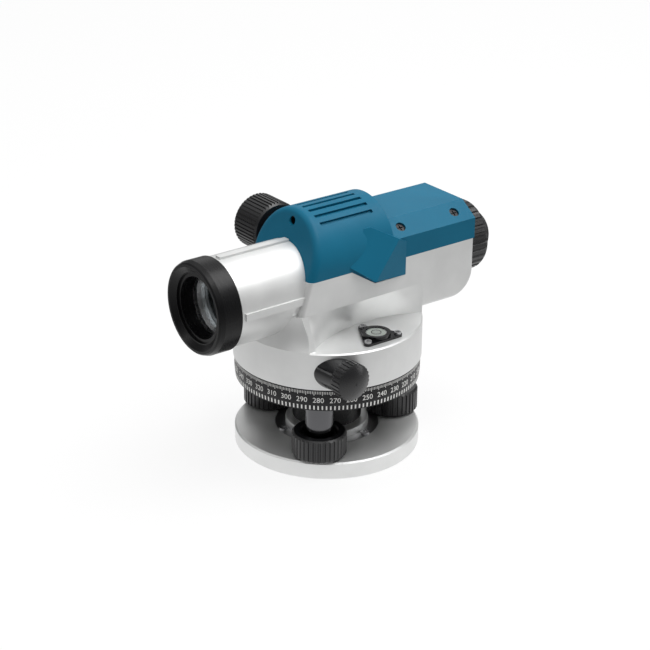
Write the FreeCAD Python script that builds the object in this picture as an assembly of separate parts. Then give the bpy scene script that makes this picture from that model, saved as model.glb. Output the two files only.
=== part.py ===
import FreeCAD, Part
import math
import os

# Automatic level: a surveyor's levelling telescope on a three-screw base.
# Millimetres.  +Z is up, the objective faces -Y, the eyepiece +Y, the bubble is on +X
# and the focusing knob on -X.  The origin is the centre of the tripod thread, in the
# plane of the base plate's underside.

V = FreeCAD.Vector
X_AXIS, Y_AXIS, Z_AXIS = V(1, 0, 0), V(0, 1, 0), V(0, 0, 1)

# ---- fits ---------------------------------------------------------------------------
RUNNING = 0.04          # radial clearance of a shaft that turns in its bore
SLIP = 0.10             # radial clearance of a piece that is dropped into a seat
AIR = 0.30              # gap between pieces that pass each other

# ---- base plate and spring plate ----------------------------------------------------
base_inset = 0.5                # base plate within the drum's radius
base_thickness = 10.3
base_edge = 0.9
boss_to_knob = 2.0              # room from the base boss out to a foot knob
boss_height = 3.7
tripod_wall_radius = 6.85       # crest of the 5/8 inch thread
spring_thickness = 1.0
spring_ring_width = 6.0
spring_arm_width = 15.0
clamp_screw_inset = 3.2         # clamp screws outside the base boss

# ---- foot screws --------------------------------------------------------------------
foot_angle = -43.0              # bearing of the first foot screw
foot_count = 3
foot_knob_radius = 15.5
foot_knob_height = 14.0
foot_knob_gap = 0.9             # from the base plate up to the knob
foot_knob_ribs = 34
dish_radius = 10.2
dish_depth = 3.2
ball_radius = 3.6
ball_seat_depth = 7.6
neck_radius = 2.2
spindle_radius = 3.5
spindle_slack = 0.75            # room for the head to tilt on the screws
sleeve_radius = 8.0
sleeve_shoulder = 1.0           # sleeve's step under the head

# ---- levelling head and horizontal circle -------------------------------------------
head_gap = 15.8                 # from the foot knobs up to the head's underside
sleeve_edge = 0.7               # head beyond the foot sleeves
head_thickness = 11.0
hub_inset = 4.0                 # hub within the base boss
hub_clearance = 2.0             # hub's lower end above the base boss
ring_seat_depth = 3.6
centring_inner = 8.0
centring_outer = 12.0
circle_inset = 0.7              # circle within the drum's radius
circle_room = 1.9               # circle's wall outside the head
circle_height = 12.6
circle_wall = 2.2
circle_web = 2.0
circle_taper = 0.5
circle_collar = 28.0

# ---- vertical axis and its drive ----------------------------------------------------
axis_radius = 7.0
axis_screw_circle = 10.0
bush_wall = 2.0
clutch_collar = 14.0
clutch_shoulder = 16.5
wheel_teeth = 72
worm_pitch = 2.0
worm_pitch_radius = 4.4
worm_addendum = 0.6
worm_dedendum = 0.8
worm_turns = 3.25               # each side of the middle crest
tooth_play = 0.25
wheel_width = 4.0
worm_height = 9.8              # worm axis above the skirt edge
drive_shaft_radius = 2.5
drive_standoff = 8.6            # drive knobs' crowns beyond the drum
drive_knob_radius = 10.6
drive_knob_length = 11.0
drive_knob_ribs = 26
drive_dome = 3.0
drive_neck_radius = 5.0
drive_boss_foot = 11.4
drive_boss_tip = 8.4

# ---- housing ------------------------------------------------------------------------
skirt_gap = 0.5
drum_radius = 54.0
drum_height = 21.7
drum_wall = 2.8
ceiling = 2.5
scope_rise = 26.5               # telescope axis above the drum's top
tube_radius = 25.5
tube_wall = 3.0
tube_front = 79.0               # tube mouth, forward of the vertical axis
body_half_width = 28.5
body_wall = 2.8
body_rear = 83.7
body_lean = 0.325               # forward lean of the front face per unit height
body_front = 39.4               # front face at the crease, forward of the axis
crease_rise = 18.0              # crease above the drum's top
split_rise = 36.5               # joint between housing and cover, above the drum's top
tail_rise = 2.8                 # underside of the tail above the drum's top
tail_start = 44.0
tail_round = 15.0
foot_half_width = 36.4          # ends of the scooped side on the drum
foot_rear_half_width = 29.2     # the same ends at the rear, within the drum
foot_rear = 45.3
scoop_half_width = 20.3
scoop_middle = 14.0
rail_width = 4.2
rail_height = 1.2

# ---- cover --------------------------------------------------------------------------
arch_rise = 4.0                 # centre of the arch above the joint
arch_rear = 25.0
arch_round = 4.0
roof_rise = 20.3                # flat roof above the joint
roof_half_width = 16.7
shoulder_rise = 12.3            # lower edge of the roof's chamfer above the joint
cover_wall = 2.5
tongue_drop = 10.4
tongue_front = -5.2
tongue_toe = 11.2
tongue_rear = 33.0
grip_grooves = 7
grip_step = 11.6
grip_front = -18.0
grip_rear = 18.0
hood_toe = 5.9                  # lowest front corner of the bubble hood
hood_toe_drop = 5.9
hood_toe_reach = 7.5            # how far the hood's crest stands off the side wall
groove_width = 2.2
groove_depth = 1.5
sight_rise = 26.0
sight_radius = 2.6
cover_screw_places = (33.5, 72.7)
screw_head_radius = 2.9
screw_head_depth = 1.9
screw_recess = 1.0
screw_shank_radius = 1.5
screw_boss_radius = 4.6
screw_boss_depth = 6.0
post_half_width = 4.2

# ---- objective ----------------------------------------------------------------------
ring_length = 14.7
ring_overlap = 2.8              # objective ring over the tube
ring_radius = 26.5
ring_front_radius = 25.6
ring_mouth = 23.4
ring_step = 19.6
ring_bore = 17.5
cell_length = 16.0
cell_wall = 4.4
lens_depth = 15.6               # lens crown behind the ring's front edge
crown_thickness = 5.0
flint_thickness = 3.0
lens_bulge = 1.6

# ---- focusing -----------------------------------------------------------------------
guide_radius = 12.6
guide_bore = 10.5
guide_front = -40.0
guide_rear = 16.0
slide_front = -22.0
slide_rear = 6.0
slide_wall = 2.0
gear_module = 0.6
pinion_teeth = 12
pinion_width = 4.0
rack_width = 4.0
rack_bar = 2.4
focus_place = -9.2
focus_shaft_radius = 2.0
focus_bush_radius = 5.0
focus_collar_radius = 9.0
focus_knob_inner = 36.0
focus_knob_outer = 57.5
focus_knob_radius = 16.0
focus_knob_ribs = 44

# ---- compensator --------------------------------------------------------------------
comp_middle = 34.0
comp_half_length = 15.0
comp_half_width = 14.0
comp_plate = 2.0
comp_top_rise = 17.0            # hanger bar above the telescope axis
prism_half_width = 8.0
prism_side = 9.0
wire_radius = 0.2
damper_radius = 5.0

# ---- reticle and eyepiece -----------------------------------------------------------
reticle_setback = 6.0           # reticle behind the eyepiece tube's front
reticle_radius = 6.0
reticle_ring_radius = 9.4
eye_tube_radius = 12.0
eye_tube_wall = 1.8
eye_tube_inside = 23.7          # eyepiece tube's length inside the body
eye_tube_outside = 16.3
eye_flange_radius = 17.0
eye_cover_radius = 21.2
eye_cover_length = 18.8
eye_cover_ribs = 30
eye_cell_length = 11.0
eye_cell_setback = 0.3          # eye cell's front behind the body's rear
diopter_radius = 13.8
diopter_length = 10.5
diopter_overlap = 3.0           # diopter ring over the eyepiece tube
diopter_ribs = 36
eyecup_length = 3.0
eye_lens_radius = 7.6

# ---- circular level -----------------------------------------------------------------
level_x = 40.2
level_y = 3.2
level_ring_radius = 8.2
level_plate = 1.4
level_height = 3.2
level_lobe_circle = 12.0
level_lobe_radius = 2.5
vial_radius = 6.1
vial_wall = 0.6
level_floor = 0.6               # holder left under the vial

# ---- heights that follow from the sizes above ---------------------------------------
base_radius = drum_radius - base_inset
circle_radius = drum_radius - circle_inset
head_radius = circle_radius - circle_wall - circle_room
sleeve_seat_radius = sleeve_radius - sleeve_shoulder
foot_circle = head_radius - sleeve_seat_radius - sleeve_edge
boss_radius = foot_circle - foot_knob_radius - boss_to_knob
hub_radius = boss_radius - hub_inset
spring_ring_radius = boss_radius + spring_ring_width
clamp_screw_circle = boss_radius + clamp_screw_inset
drive_reach = drum_radius + drive_standoff
ring_rear = tube_front - ring_overlap
eye_tube_front = body_rear - eye_tube_inside
eye_tube_rear = body_rear + eye_tube_outside
eye_cover_rear = body_rear + eye_cover_length
eye_cell_front = body_rear + eye_cell_setback
diopter_front = eye_tube_rear - diopter_overlap
diopter_rear = diopter_front + diopter_length
eyecup_rear = diopter_rear + eyecup_length
reticle_place = eye_tube_front + reticle_setback
base_top = base_thickness
boss_top = base_top + boss_height
foot_knob_low = base_top + foot_knob_gap
foot_knob_top = foot_knob_low + foot_knob_height
ball_z = base_top - ball_seat_depth + ball_radius + 0.05
head_low = foot_knob_top + head_gap
head_top = head_low + head_thickness
hub_low = boss_top + hub_clearance
circle_top = head_top + AIR + circle_web + 1.0
circle_low = circle_top - circle_height
skirt_low = circle_top + skirt_gap
drum_top = skirt_low + drum_height
drum_ceiling = drum_top - ceiling
scope_z = drum_top + scope_rise
crease_z = drum_top + crease_rise
split_z = drum_top + split_rise
tail_z = drum_top + tail_rise
arch_z = split_z + arch_rise
arch_top = arch_z + body_half_width
roof_z = split_z + roof_rise
shoulder_z = split_z + shoulder_rise
worm_z = skirt_low + worm_height
wheel_pitch_radius = wheel_teeth * worm_pitch / (2 * math.pi)
worm_y = -(wheel_pitch_radius + worm_pitch_radius)
plate_low = skirt_low + 1.2
plate_top = plate_low + 2.4
pinion_radius = gear_module * pinion_teeth / 2
focus_z = scope_z + guide_bore + rack_bar + pinion_radius - 0.6

foot_bearings = [foot_angle + 360.0 * k / foot_count for k in range(foot_count)]
foot_places = [(foot_circle * math.cos(math.radians(a)), foot_circle * math.sin(math.radians(a)))
               for a in foot_bearings]


# ---- building blocks ----------------------------------------------------------------
def disc(radius, low, high, x=0.0, y=0.0):
    return Part.makeCylinder(radius, high - low, V(x, y, low))


def rod_y(radius, front, rear, z, x=0.0):
    return Part.makeCylinder(radius, rear - front, V(x, front, z), Y_AXIS)


def rod_x(radius, left, right, y, z):
    return Part.makeCylinder(radius, right - left, V(left, y, z), X_AXIS)


def pipe_y(outer, inner, front, rear, z):
    return rod_y(outer, front, rear, z).cut(rod_y(inner, front - 1, rear + 1, z))


def pipe_z(outer, inner, low, high, x=0.0, y=0.0):
    return disc(outer, low, high, x, y).cut(disc(inner, low - 1, high + 1, x, y))


def block(x0, x1, y0, y1, z0, z1):
    return Part.makeBox(x1 - x0, y1 - y0, z1 - z0, V(x0, y0, z0))


def plate(points, travel):
    """A flat polygon pushed along a vector."""
    wire = Part.makePolygon(list(points) + [points[0]])
    return Part.Face(wire).extrude(travel)


def turned(profile, origin=V(0, 0, 0), direction=Z_AXIS):
    """A closed outline of (radius, height) pairs spun about an axis."""
    wire = Part.makePolygon([V(r, 0, h) for r, h in profile + profile[:1]])
    solid = Part.Face(wire).revolve(V(0, 0, 0), Z_AXIS, 360)
    return stand(solid, origin, direction)


def stand(shape, origin, direction):
    """Carries a shape built on +Z to an origin and a direction."""
    placed = shape.copy()
    placed.Placement = FreeCAD.Placement(origin, FreeCAD.Rotation(Z_AXIS, direction))
    return placed


def toothed(count, tip, root, tip_share, root_share, height, phase=0.0):
    """A straight-sided tooth outline pushed up by height; shares are of one pitch."""
    points = []
    step = 2 * math.pi / count
    for k in range(count):
        middle = phase + k * step
        for radius, share in ((root, -root_share), (tip, -tip_share), (tip, tip_share), (root, root_share)):
            angle = middle + share * step / 2
            points.append(V(radius * math.cos(angle), radius * math.sin(angle), 0))
    return plate(points, V(0, 0, height))


def ribbed(radius, ribs, height, depth=0.6):
    """A knob's grip: fine ribs all the way round."""
    return toothed(ribs, radius, radius - depth, 0.45, 0.70, height)


def screw(head_radius, head_height, shank_radius, shank_length, origin, direction):
    """A cross-slot screw whose head stands on the origin, shank against the direction."""
    body = disc(head_radius, 0, head_height)
    slot = block(-head_radius * 0.62, head_radius * 0.62, -0.35, 0.35, head_height * 0.5, head_height + 1)
    cross = slot.copy()
    cross.rotate(V(0, 0, 0), Z_AXIS, 90)
    body = body.cut(slot).cut(cross)
    body = body.fuse(disc(shank_radius, -shank_length, 0))
    return stand(body, origin, direction)


def polar(radius, bearing, z=0.0):
    return V(radius * math.cos(math.radians(bearing)), radius * math.sin(math.radians(bearing)), z)


def mirror_x(shape):
    return shape.mirror(V(0, 0, 0), X_AXIS)


os.makedirs("parts", exist_ok=True)


def save(node, *solids):
    """Writes one node; loose solids of one node stay separate solids."""
    shape = solids[0] if len(solids) == 1 else Part.makeCompound(list(solids))
    shape.exportStep("parts/" + node + ".step")


# ---- base ---------------------------------------------------------------------------
def base_plate():
    body = turned([(0, 0), (base_radius - base_edge, 0), (base_radius, base_edge),
                   (base_radius, base_top - base_edge), (base_radius - base_edge, base_top),
                   (boss_radius, base_top), (boss_radius, boss_top - 0.5), (boss_radius - 0.5, boss_top),
                   (0, boss_top)])
    pocket = spring_outline(base_top - spring_thickness, base_top + 1, SLIP)
    body = body.cut(pocket.cut(disc(boss_radius, 0, boss_top)))
    body = body.cut(disc(tripod_wall_radius, -1, boss_top + 1))
    for x, y in foot_places:
        body = body.cut(disc(ball_radius + AIR, base_top - ball_seat_depth, base_top + 1, x, y))
    for bearing in foot_bearings:
        hole = polar(clamp_screw_circle, bearing + 60)
        body = body.cut(disc(screw_shank_radius + SLIP, base_top - 5, base_top + 1, hole.x, hole.y))
    return body


def spring_outline(low, high, spare):
    """The spring plate's outline: a ring with an arm out to each foot screw."""
    body = disc(spring_ring_radius + spare, low, high)
    half = spring_arm_width / 2 + spare
    for bearing, (x, y) in zip(foot_bearings, foot_places):
        arm = block(0, foot_circle, -half, half, low, high)
        arm.rotate(V(0, 0, 0), Z_AXIS, bearing)
        body = body.fuse(arm).fuse(disc(half, low, high, x, y))
    return body.removeSplitter()


def spring_plate():
    low, high = base_top - spring_thickness, base_top
    body = spring_outline(low, high, 0).cut(disc(boss_radius + SLIP, low - 1, high + 1))
    for bearing, (x, y) in zip(foot_bearings, foot_places):
        hole = polar(clamp_screw_circle, bearing + 60)
        body = body.cut(disc(neck_radius + 0.7, low - 1, high + 1, x, y))
        body = body.cut(disc(screw_shank_radius + SLIP, low - 1, high + 1, hole.x, hole.y))
    return body


def foot_screw(x, y):
    ball = Part.makeSphere(ball_radius, V(x, y, ball_z))
    neck = disc(neck_radius, ball_z, foot_knob_low + 1, x, y)
    spindle = disc(spindle_radius, foot_knob_low, head_low + head_thickness - 6, x, y)
    return ball.fuse(neck).fuse(spindle)


def foot_knob(x, y):
    grip = ribbed(foot_knob_radius, foot_knob_ribs, foot_knob_height)
    edge = 1.2
    envelope = turned([(0, 0), (foot_knob_radius - edge, 0), (foot_knob_radius + 0.01, edge),
                       (foot_knob_radius + 0.01, foot_knob_height - edge),
                       (foot_knob_radius - edge, foot_knob_height), (dish_radius + 0.8, foot_knob_height),
                       (dish_radius, foot_knob_height - 0.8), (dish_radius, foot_knob_height - dish_depth),
                       (0, foot_knob_height - dish_depth)])
    body = grip.common(envelope)
    body = body.cut(disc(spindle_radius, -1, foot_knob_height + 1))
    body.translate(V(x, y, foot_knob_low))
    return body


def levelling_head():
    hub_bore = axis_radius + RUNNING + bush_wall
    body = turned([(centring_outer + 0.5, hub_low), (hub_radius, hub_low), (hub_radius, head_low),
                   (head_radius, head_low), (head_radius, head_top), (circle_collar, head_top),
                   (circle_collar, circle_top), (clutch_shoulder, circle_top),
                   (clutch_shoulder, worm_z - wheel_width / 2 - 1.2),
                   (clutch_collar, worm_z - wheel_width / 2 - 1.2),
                   (clutch_collar, worm_z + wheel_width / 2 + 2.6), (hub_bore, worm_z + wheel_width / 2 + 2.6),
                   (hub_bore, hub_low + ring_seat_depth + 8.0),
                   (axis_radius + 4.0, hub_low + ring_seat_depth + 8.0),
                   (axis_radius + 4.0, hub_low + ring_seat_depth),
                   (centring_outer + 0.5, hub_low + ring_seat_depth)])
    groove_low = worm_z + wheel_width / 2 + 1.0
    body = body.cut(pipe_z(clutch_collar + 1, clutch_collar - 0.6, groove_low, groove_low + 0.9))
    for x, y in foot_places:
        body = body.cut(disc(sleeve_seat_radius, head_low - 1, head_top - 2.0, x, y))
    return body


def foot_sleeve(x, y):
    """A sleeve pressed into the head from below, up to its shoulder."""
    low = foot_knob_top - dish_depth + 1.9
    body = disc(sleeve_radius, low, head_low, x, y).fuse(
        disc(sleeve_seat_radius, low, head_top - 2.0, x, y))
    return body.cut(disc(spindle_radius + spindle_slack, low - 1, head_top, x, y))


def horizontal_circle():
    inner = circle_radius - circle_wall
    web_low = head_top + AIR
    return turned([(circle_collar + RUNNING, web_low), (inner, web_low), (inner - 0.4, circle_low),
                   (circle_radius - circle_taper, circle_low),
                   (circle_radius, circle_low + circle_height * 0.4),
                   (circle_radius, circle_top - 0.4), (circle_radius - 0.4, circle_top), (inner, circle_top),
                   (inner - 1.0, web_low + circle_web), (circle_collar + RUNNING, web_low + circle_web)])


# ---- vertical axis ------------------------------------------------------------------
hub_bore_low = hub_low + ring_seat_depth + 8.0
collar_top = worm_z + wheel_width / 2 + 2.6


def axis_bush():
    return pipe_z(axis_radius + RUNNING + bush_wall, axis_radius + RUNNING, hub_bore_low, collar_top)


def axis_spindle():
    flange = disc(13.0, drum_ceiling - 3.0, drum_ceiling)
    shaft = disc(axis_radius, hub_bore_low - 1.0, drum_ceiling - 2.0)
    body = flange.fuse(shaft)
    for bearing in (30, 150, 270):
        hole = polar(axis_screw_circle, bearing)
        body = body.cut(disc(screw_shank_radius, drum_ceiling - 4, drum_ceiling + 1, hole.x, hole.y))
    return body.cut(disc(2.0, hub_bore_low - 2, hub_bore_low + 9))


def axis_retainer():
    low = hub_bore_low - 3.6
    washer = disc(axis_radius + 3.0, hub_bore_low - 2.4, hub_bore_low - 1.0)
    bolt = screw(4.0, hub_bore_low - 2.4 - low, 2.0, 9.0, V(0, 0, hub_bore_low - 2.4), V(0, 0, -1))
    return washer.cut(disc(2.0, low, hub_bore_low)), bolt


def worm_wheel():
    low, high = worm_z - wheel_width / 2, worm_z + wheel_width / 2
    play = tooth_play / worm_pitch
    body = toothed(wheel_teeth, wheel_pitch_radius + worm_addendum, wheel_pitch_radius - worm_dedendum,
                   0.5 - 0.18 - play, 0.5 + 0.24 - play, wheel_width,
                   -math.pi / 2 + math.pi / wheel_teeth)
    body.translate(V(0, 0, low))
    body = body.cut(disc(clutch_collar + RUNNING, low - 1, high + 1))
    return body.cut(pipe_z(wheel_pitch_radius - 2.6, clutch_collar + 2.4, high - 0.8, high + 1))


def worm():
    half = worm_pitch * worm_turns
    tip = worm_pitch_radius + worm_addendum
    root = worm_pitch_radius - worm_dedendum
    tip_half = worm_pitch * 0.25 - worm_addendum * 0.36 - tooth_play / 2
    root_half = worm_pitch * 0.25 + (worm_dedendum + 0.2) * 0.36 - tooth_play / 2
    profile = Part.makePolygon([V(root - 0.2, 0, -root_half), V(tip, 0, -tip_half), V(tip, 0, tip_half),
                                V(root - 0.2, 0, root_half), V(root - 0.2, 0, -root_half)])
    path = Part.Wire(Part.makeHelix(worm_pitch, 2 * half, worm_pitch_radius).Edges)
    thread = path.makePipeShell([profile], True, True)
    body = disc(root, -2.0, 2 * half + 2.0).fuse(thread)
    body = body.common(disc(tip + 1, 1.0, 2 * half - 1.0))
    body = body.cut(disc(drive_shaft_radius, -1, 2 * half + 1))
    return stand(body, V(-half, worm_y, worm_z), X_AXIS)


def drive_wall_x(radius):
    """Where a round wall of the drum meets the drive shaft's line."""
    return math.sqrt(radius ** 2 - worm_y ** 2)


def drive_boss():
    foot = math.sqrt((drum_radius - drum_wall) ** 2 - (worm_y - drive_boss_foot) ** 2) - 1.0
    tip = drive_reach - drive_knob_length + 0.4
    cone = turned([(0, 0), (drive_boss_foot, 0), (drive_boss_foot, 2.0),
                   (drive_boss_tip + 0.6, tip - foot - 1.2),
                   (drive_boss_tip, tip - foot), (0, tip - foot)], V(foot, worm_y, worm_z), X_AXIS)
    cone = cone.cut(disc(drum_radius, skirt_low, drum_top))
    cone = cone.cut(disc(2 * drum_radius, skirt_low - 10, skirt_low + 0.2))
    neck = rod_x(drive_neck_radius, drive_wall_x(drum_radius - drum_wall) - 3.0, tip - 1.0, worm_y, worm_z)
    return cone.fuse(neck).cut(rod_x(drive_shaft_radius + RUNNING, 0, tip + 5, worm_y, worm_z))


def drive_knob():
    grip = ribbed(drive_knob_radius, drive_knob_ribs, drive_knob_length)
    dome_radius = (drive_knob_radius ** 2 + drive_dome ** 2) / (2 * drive_dome)
    ball = Part.makeSphere(dome_radius, V(0, 0, drive_knob_length - dome_radius))
    envelope = turned([(0, 0), (drive_knob_radius - 1.2, 0), (drive_knob_radius + 0.01, 1.2),
                       (drive_knob_radius + 0.01, drive_knob_length + 1), (0, drive_knob_length + 1)])
    body = grip.common(envelope).common(ball)
    core = disc(drive_knob_radius - 0.9, 1.0, drive_knob_length).common(ball)
    body = body.fuse(core).cut(disc(drive_shaft_radius, -1, drive_knob_length - 4.0))
    recess = disc(drive_boss_tip + AIR, -1, 0.9)
    return stand(body.cut(recess), V(drive_reach - drive_knob_length, worm_y, worm_z), X_AXIS)


# ---- housing ------------------------------------------------------------------------
front_at_split = -(body_front - body_lean * (split_z - crease_z))


def front_y(z):
    """The leaning front face: its place at a height."""
    return -body_front + body_lean * (z - crease_z)


tube_root = front_y(scope_z + tube_radius) + 1.0


def sloped_body():
    """The upper box: a leaning front, a flat tail underside and a rounded tail corner."""
    corner = V(0, body_rear, tail_z)
    outline = [V(0, front_y(crease_z - 1), crease_z - 1), V(0, front_y(split_z), split_z),
               V(0, body_rear, split_z), V(0, body_rear, tail_z + tail_round),
               V(0, body_rear - tail_round, tail_z), V(0, tail_start, tail_z), V(0, tail_start, crease_z - 1)]
    bend = corner + V(0, -tail_round, tail_round) + V(0, 1, -1).normalize() * tail_round
    edges = [Part.LineSegment(a, b).toShape() for a, b in zip(outline[:3], outline[1:4])]
    edges.append(Part.Arc(outline[3], bend, outline[4]).toShape())
    tail = outline[4:] + outline[:1]
    edges += [Part.LineSegment(a, b).toShape() for a, b in zip(tail[:-1], tail[1:])]
    body = Part.Face(Part.Wire(edges)).extrude(V(2 * body_half_width, 0, 0))
    body.translate(V(-body_half_width, 0, 0))
    rounded = [e for e in body.Edges if is_upright(e) or is_rear_edge(e)]
    return body.makeFillet(2.0, rounded)


def is_upright(edge):
    """Front and rear corner edges of the upper box, on its two sides."""
    box = edge.BoundBox
    return box.XLength < 0.01 and box.ZLength > 10 and (box.YMax < -20 or box.YMin > body_rear - 0.1)


def is_rear_edge(edge):
    box = edge.BoundBox
    upright = box.XLength < 0.01
    return upright and box.YMin > body_rear - tail_round - 0.1 and box.ZMax < tail_z + tail_round + 0.1


def waist():
    """The scooped part between the upper box and the drum's top."""
    top = [V(body_half_width, -body_front, crease_z), V(body_half_width, foot_rear + 1, crease_z)]
    foot = [V(foot_half_width, -body_front + 2.4, drum_top - 1),
            V(foot_rear_half_width, foot_rear, drum_top - 1)]
    hollow = V(scoop_half_width, scoop_middle, drum_top - 1)
    flat = V(body_half_width, 4.0, crease_z)

    def outline(pair, middle):
        left = [V(-p.x, p.y, p.z) for p in pair]
        curved = middle.x < pair[1].x - 0.1
        right_side = Part.Arc(pair[0], middle, pair[1]) if curved else Part.LineSegment(*pair)
        mirrored = V(-middle.x, middle.y, middle.z)
        left_side = Part.Arc(left[1], mirrored, left[0]) if middle.x < pair[1].x - 0.1 else \
            Part.LineSegment(left[1], left[0])
        edges = [right_side, Part.LineSegment(pair[1], left[1]), left_side, Part.LineSegment(left[0], pair[0])]
        return Part.Wire([e.toShape() for e in edges])
    return Part.makeLoft([outline(foot, hollow), outline(top, flat)], True, True)


def neck():
    """The flare that carries the drum's wall up to the box's front corners, under the tube."""
    corner = math.hypot(body_front, body_half_width)
    rise = crease_z - drum_top
    narrowing = drum_radius - corner
    bend = (rise ** 2 + narrowing ** 2) / (2 * narrowing)
    half = math.asin(rise / bend) / 2
    middle = V(corner + bend - bend * math.cos(half), 0, crease_z - bend * math.sin(half))
    foot, top = V(drum_radius, 0, drum_top), V(corner, 0, crease_z)
    edges = [Part.LineSegment(V(drum_radius, 0, drum_top - 1), foot), Part.Arc(foot, middle, top),
             Part.LineSegment(top, V(0, 0, crease_z)),
             Part.LineSegment(V(0, 0, crease_z), V(0, 0, drum_top - 1)),
             Part.LineSegment(V(0, 0, drum_top - 1), V(drum_radius, 0, drum_top - 1))]
    flare = Part.Face(Part.Wire([e.toShape() for e in edges])).revolve(V(0, 0, 0), Z_AXIS, 360)
    right = [(foot_half_width, drum_top - 1), (body_half_width, crease_z), (body_half_width, crease_z + 1)]
    outline = right + [(-x, z) for x, z in reversed(right)]
    sector = plate([V(x, -drum_radius, z) for x, z in outline], V(0, drum_radius - body_front + 4, 0))
    return flare.common(sector)


def housing():
    drum = turned([(0, skirt_low), (drum_radius, skirt_low), (drum_radius, drum_top - 0.8),
                   (drum_radius - 0.8, drum_top), (0, drum_top)])
    tube = rod_y(tube_radius, -tube_front, tube_root, scope_z)
    for direction in (V(0, 0, 1), V(1, 0, 0), V(-1, 0, 0)):
        tube = tube.fuse(guide_rail(direction))
    body = drum.fuse([neck(), waist(), sloped_body(), tube])
    body = body.cut(disc(drum_radius - drum_wall, skirt_low - 1, drum_ceiling))
    body = body.cut(rod_y(tube_radius - tube_wall, -tube_front - 1, tube_root + 6.0, scope_z))
    inside = body_half_width - body_wall
    hollow_front = front_y(scope_z) + 8
    hollow_rear = body_rear - body_wall
    body = body.cut(block(-inside, inside, hollow_front, hollow_rear, crease_z, split_z + 1))
    well = scoop_half_width - 0.7
    body = body.cut(block(-well, well, hollow_front, hollow_rear, comp_floor, crease_z + 1))
    posts = [screw_post(y) for y in cover_screw_places]
    body = body.fuse(posts + [mirror_x(post) for post in posts])
    body = body.cut(tongue_cut())
    body = body.cut(rod_y(eye_tube_radius + SLIP, body_rear - 10, body_rear + 1, scope_z))
    for side in (-1, 1):
        bore = rod_x(drive_neck_radius + SLIP, 0, drum_radius + 5, worm_y, worm_z)
        body = body.cut(bore if side > 0 else mirror_x(bore))
    for bearing in (30, 150, 270):
        hole = polar(axis_screw_circle, bearing)
        body = body.cut(disc(screw_shank_radius, drum_ceiling - 1, drum_ceiling + 5, hole.x, hole.y))
    for lobe in level_lobes():
        body = body.cut(disc(1.0, drum_top - 2.0, drum_top + 1, lobe.x, lobe.y))
    return body.removeSplitter()


def guide_rail(direction):
    """A flat raised rail along the tube; the top one runs up to the cover's face."""
    low = tube_radius - 1.0
    rear = front_y(scope_z) + 2.0 if direction.x else front_y(scope_z + tube_radius) - AIR
    rail = block(-rail_width / 2, rail_width / 2, -ring_rear + 2.0, rear, low,
                 tube_radius + rail_height)
    rail.rotate(V(0, 0, 0), Y_AXIS, math.degrees(math.atan2(direction.x, direction.z)))
    rail.translate(V(0, 0, scope_z))
    return rail


def tongue_outline(drop, x):
    return [V(x, tongue_front, split_z), V(x, tongue_toe, split_z - drop),
            V(x, tongue_rear, split_z - drop), V(x, tongue_rear, split_z)]


def tongue_cut():
    outline = tongue_outline(tongue_drop, body_half_width - body_wall - 1)
    outline[0].z += 1
    outline[3].z += 1
    outline[0].y -= 1.6
    return plate(outline, V(20, 0, 0))


# ---- cover --------------------------------------------------------------------------
def arch_face(half, y):
    """Upright sides under a half round."""
    centre = V(0, y, arch_z)
    left, right = V(-half, y, arch_z), V(half, y, arch_z)
    edges = [Part.LineSegment(V(-half, y, split_z), left), Part.Arc(left, centre + V(0, 0, half), right),
             Part.LineSegment(right, V(half, y, split_z)),
             Part.LineSegment(V(half, y, split_z), V(-half, y, split_z))]
    return Part.Face(Part.Wire([e.toShape() for e in edges]))


def arch(inset, rear):
    """The front barrel of the cover, its front cut off to the body's lean."""
    half = body_half_width - inset
    body = arch_face(half, front_at_split - 20).extrude(V(0, rear - front_at_split + 20, 0))
    y0, y1 = front_y(split_z - 5) + inset, front_y(arch_top + 5) + inset
    ahead = plate([V(-60, y0, split_z - 5), V(-60, y1, arch_top + 5), V(-60, -120, arch_top + 5),
                   V(-60, -120, split_z - 5)], V(120, 0, 0))
    return body.cut(ahead)


def roof(inset, front, rear):
    """The faceted rear of the cover."""
    half = body_half_width - inset
    top = roof_half_width - inset * 0.45
    sides = [(-half, split_z), (-half, shoulder_z - inset * 0.3),
             (-top, roof_z - inset), (top, roof_z - inset),
             (half, shoulder_z - inset * 0.3), (half, split_z)]
    return plate([V(x, front, z) for x, z in sides], V(0, rear - front, 0))


def edge_on_front(edge):
    """True for the arch's rim in the leaning front face."""
    ends = [edge.valueAt(p) for p in (edge.FirstParameter, (edge.FirstParameter + edge.LastParameter) / 2,
                                      edge.LastParameter)]
    on_face = all(abs(p.y - front_y(p.z)) < 0.01 for p in ends)
    return on_face and max(p.z for p in ends) > split_z + 0.5


def mirror_hood():
    """The wedge that shades the bubble's mirror; its crest leans out from the side wall."""
    side = body_half_width
    outline = [V(0, -6.5, split_z + 3.0), V(0, 7.1, split_z + 21.3), V(0, 10.9, split_z + 21.6),
               V(0, 32.3, split_z + 10.0), V(0, tongue_rear, split_z - tongue_drop),
               V(0, hood_toe, split_z - hood_toe_drop)]
    body = plate([p + V(side - cover_wall - 3, 0, 0) for p in outline], V(20, 0, 0))
    # the front face passes through the two points on the barrel and the lower end of the crest
    low_front = V(side + 0.3, -6.5, split_z + 3.0)
    high_front = V(23.4, 7.1, split_z + 21.3)
    crest_low = V(side + hood_toe_reach, hood_toe, split_z - hood_toe_drop)
    crest_high = V(side + 3.7, 22.5, split_z + 10.7)
    foot_rear_low = V(side, tongue_rear, split_z - tongue_drop)
    body = body.cut(half_space(low_front, high_front, crest_low, V(200, 0, split_z)))
    return body.cut(half_space(crest_low, crest_high, foot_rear_low, V(200, 0, split_z)))


def half_space(a, b, c, outside):
    """A large slab on the outside of the plane through three points."""
    normal = (b - a).cross(c - a).normalize()
    if normal.dot(outside - a) < 0:
        normal = normal * -1
    slab = Part.makeBox(300, 300, 60, V(-150, -150, 0))
    return stand(slab, a, normal)


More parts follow.
